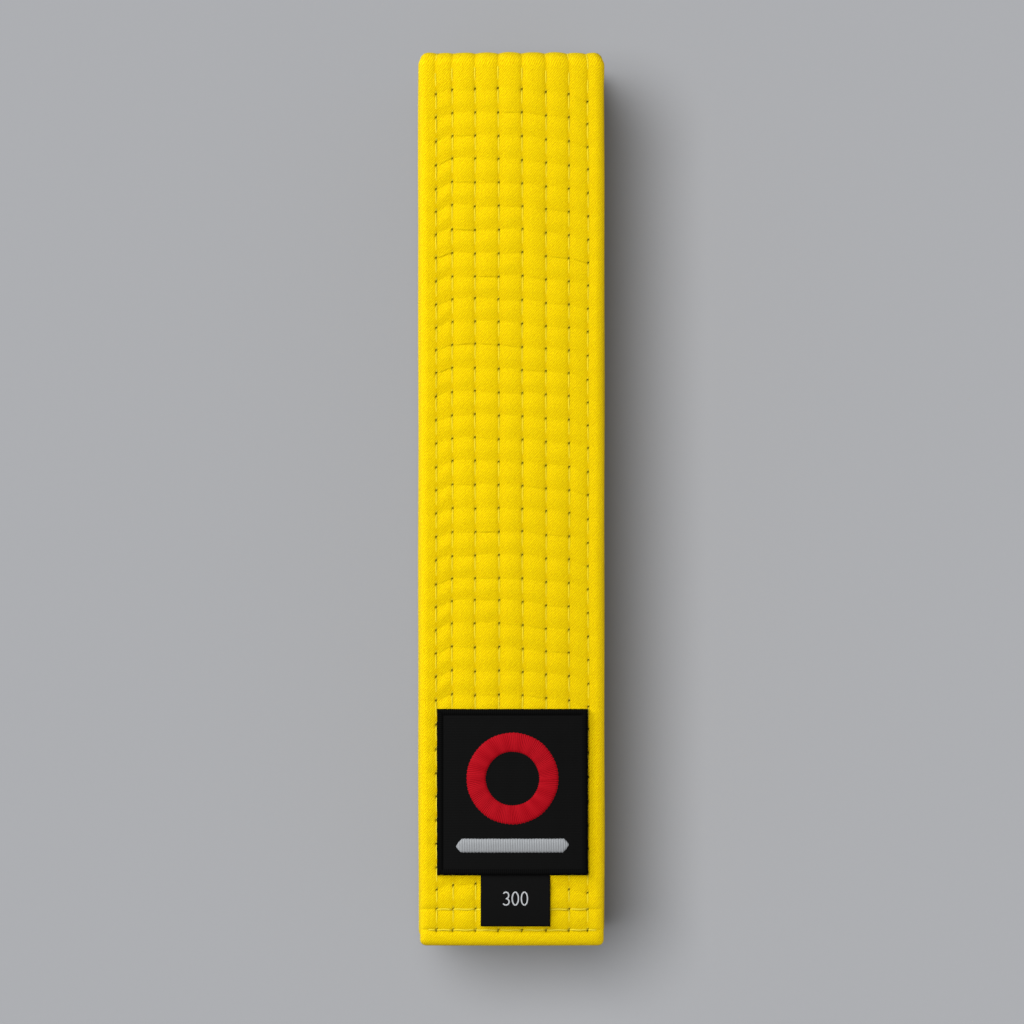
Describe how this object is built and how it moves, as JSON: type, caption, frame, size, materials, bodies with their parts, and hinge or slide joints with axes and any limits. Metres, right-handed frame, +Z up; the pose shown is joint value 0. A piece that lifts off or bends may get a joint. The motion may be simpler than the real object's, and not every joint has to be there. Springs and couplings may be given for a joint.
{
  "type": "martial arts belt",
  "caption": "Quilted cloth martial arts belt, folded to and fro into a flat bundle, with a woven label and size tag at its free tip. Opens out at its folds.",
  "frame": {"origin": "middle of the folded bundle's footprint, on the surface that it lies on", "axes": "+X across the belt, +Y along the bundle away from the labelled tip, +Z up through the layers"},
  "size_m": [0.039, 0.1884, 0.0525],
  "materials": {
    "belt_fabric": "matte cotton twill",
    "interlining": "matte undyed felt",
    "thread": "slightly glossy sewing thread",
    "label_fabric": "matte woven damask with overlocked rim",
    "emblem_thread": "glossy satin-stitch embroidery",
    "bar_thread": "silvery satin-stitch embroidery",
    "tag_fabric": "matte woven satin tape"
  },
  "bodies": {
    "layer_01": {"cover_01": "belt_fabric", "interlining_01": "interlining", "turn_01": "belt_fabric", "stitch_row_1": "thread", "stitch_row_2": "thread", "stitch_row_3": "thread", "stitch_row_4": "thread", "stitch_row_5": "thread", "stitch_row_6": "thread", "stitch_row_7": "thread", "stitch_row_8": "thread", "hem_stitching": "thread", "label_patch": "label_fabric", "label_emblem": "emblem_thread", "label_bar": "bar_thread"},
    "layer_02": {"cover_02": "belt_fabric", "interlining_02": "interlining", "turn_02": "belt_fabric"},
    "layer_03": {"cover_03": "belt_fabric", "interlining_03": "interlining", "turn_03": "belt_fabric"},
    "layer_04": {"cover_04": "belt_fabric", "interlining_04": "interlining", "turn_04": "belt_fabric"},
    "layer_05": {"cover_05": "belt_fabric", "interlining_05": "interlining", "turn_05": "belt_fabric"},
    "layer_06": {"cover_06": "belt_fabric", "interlining_06": "interlining", "turn_06": "belt_fabric"},
    "layer_07": {"cover_07": "belt_fabric", "interlining_07": "interlining", "turn_07": "belt_fabric"},
    "layer_08": {"cover_08": "belt_fabric", "interlining_08": "interlining", "turn_08": "belt_fabric"},
    "layer_09": {"cover_09": "belt_fabric", "interlining_09": "interlining", "turn_09": "belt_fabric"},
    "layer_10": {"cover_10": "belt_fabric", "interlining_10": "interlining", "turn_10": "belt_fabric"},
    "layer_11": {"cover_11": "belt_fabric", "interlining_11": "interlining", "turn_11": "belt_fabric"},
    "layer_12": {"cover_12": "belt_fabric", "interlining_12": "interlining", "turn_12": "belt_fabric"},
    "layer_13": {"cover_13": "belt_fabric", "interlining_13": "interlining", "turn_13": "belt_fabric"},
    "layer_14": {"cover_14": "belt_fabric", "interlining_14": "interlining", "turn_14": "belt_fabric"},
    "layer_15": {"cover_15": "belt_fabric", "interlining_15": "interlining", "turn_15": "belt_fabric"},
    "layer_16": {"cover_16": "belt_fabric", "interlining_16": "interlining"},
    "size_tag": {"size_tag": "tag_fabric"}
  },
  "joints": [
    {"name": "fold_15", "type": "hinge", "parent": "layer_16", "child": "layer_15", "pos_m": [0, 0.09115, 0.00305], "axis": [-1, 0, 0], "range_deg": [0, 179.9], "deforming": ["turn_15"]},
    {"name": "fold_14", "type": "hinge", "parent": "layer_15", "child": "layer_14", "pos_m": [0, -0.09115, 0.00625], "axis": [1, 0, 0], "range_deg": [0, 179.9], "deforming": ["turn_14"]},
    {"name": "fold_13", "type": "hinge", "parent": "layer_14", "child": "layer_13", "pos_m": [0, 0.09115, 0.00945], "axis": [-1, 0, 0], "range_deg": [0, 179.9], "deforming": ["turn_13"]},
    {"name": "fold_12", "type": "hinge", "parent": "layer_13", "child": "layer_12", "pos_m": [0, -0.09115, 0.01265], "axis": [1, 0, 0], "range_deg": [0, 179.9], "deforming": ["turn_12"]},
    {"name": "fold_11", "type": "hinge", "parent": "layer_12", "child": "layer_11", "pos_m": [0, 0.09115, 0.01585], "axis": [-1, 0, 0], "range_deg": [0, 179.9], "deforming": ["turn_11"]},
    {"name": "fold_10", "type": "hinge", "parent": "layer_11", "child": "layer_10", "pos_m": [0, -0.09115, 0.01905], "axis": [1, 0, 0], "range_deg": [0, 179.9], "deforming": ["turn_10"]},
    {"name": "fold_09", "type": "hinge", "parent": "layer_10", "child": "layer_09", "pos_m": [0, 0.09115, 0.02225], "axis": [-1, 0, 0], "range_deg": [0, 179.9], "deforming": ["turn_09"]},
    {"name": "fold_08", "type": "hinge", "parent": "layer_09", "child": "layer_08", "pos_m": [0, -0.09115, 0.02545], "axis": [1, 0, 0], "range_deg": [0, 179.9], "deforming": ["turn_08"]},
    {"name": "fold_07", "type": "hinge", "parent": "layer_08", "child": "layer_07", "pos_m": [0, 0.09115, 0.02865], "axis": [-1, 0, 0], "range_deg": [0, 179.9], "deforming": ["turn_07"]},
    {"name": "fold_06", "type": "hinge", "parent": "layer_07", "child": "layer_06", "pos_m": [0, -0.09115, 0.03185], "axis": [1, 0, 0], "range_deg": [0, 179.9], "deforming": ["turn_06"]},
    {"name": "fold_05", "type": "hinge", "parent": "layer_06", "child": "layer_05", "pos_m": [0, 0.09115, 0.03505], "axis": [-1, 0, 0], "range_deg": [0, 179.9], "deforming": ["turn_05"]},
    {"name": "fold_04", "type": "hinge", "parent": "layer_05", "child": "layer_04", "pos_m": [0, -0.09115, 0.03825], "axis": [1, 0, 0], "range_deg": [0, 179.9], "deforming": ["turn_04"]},
    {"name": "fold_03", "type": "hinge", "parent": "layer_04", "child": "layer_03", "pos_m": [0, 0.09115, 0.04145], "axis": [-1, 0, 0], "range_deg": [0, 179.9], "deforming": ["turn_03"]},
    {"name": "fold_02", "type": "hinge", "parent": "layer_03", "child": "layer_02", "pos_m": [0, -0.09115, 0.04465], "axis": [1, 0, 0], "range_deg": [0, 179.9], "deforming": ["turn_02"]},
    {"name": "fold_01", "type": "hinge", "parent": "layer_02", "child": "layer_01", "pos_m": [0, 0.09115, 0.04785], "axis": [-1, 0, 0], "range_deg": [0, 179.9], "deforming": ["turn_01"]},
    {"name": "size_tag_lift", "type": "hinge", "parent": "layer_01", "child": "size_tag", "pos_m": [0.00085, -0.07943, 0.05235], "axis": [-1, 0, 0], "range_deg": [0, 150]}
  ],
  "couplings": [
    {"joint": "fold_14", "follows": "fold_15", "ratio": 1},
    {"joint": "fold_12", "follows": "fold_13", "ratio": 1},
    {"joint": "fold_10", "follows": "fold_11", "ratio": 1},
    {"joint": "fold_08", "follows": "fold_09", "ratio": 1},
    {"joint": "fold_06", "follows": "fold_07", "ratio": 1},
    {"joint": "fold_04", "follows": "fold_05", "ratio": 1},
    {"joint": "fold_02", "follows": "fold_03", "ratio": 1}
  ]
}
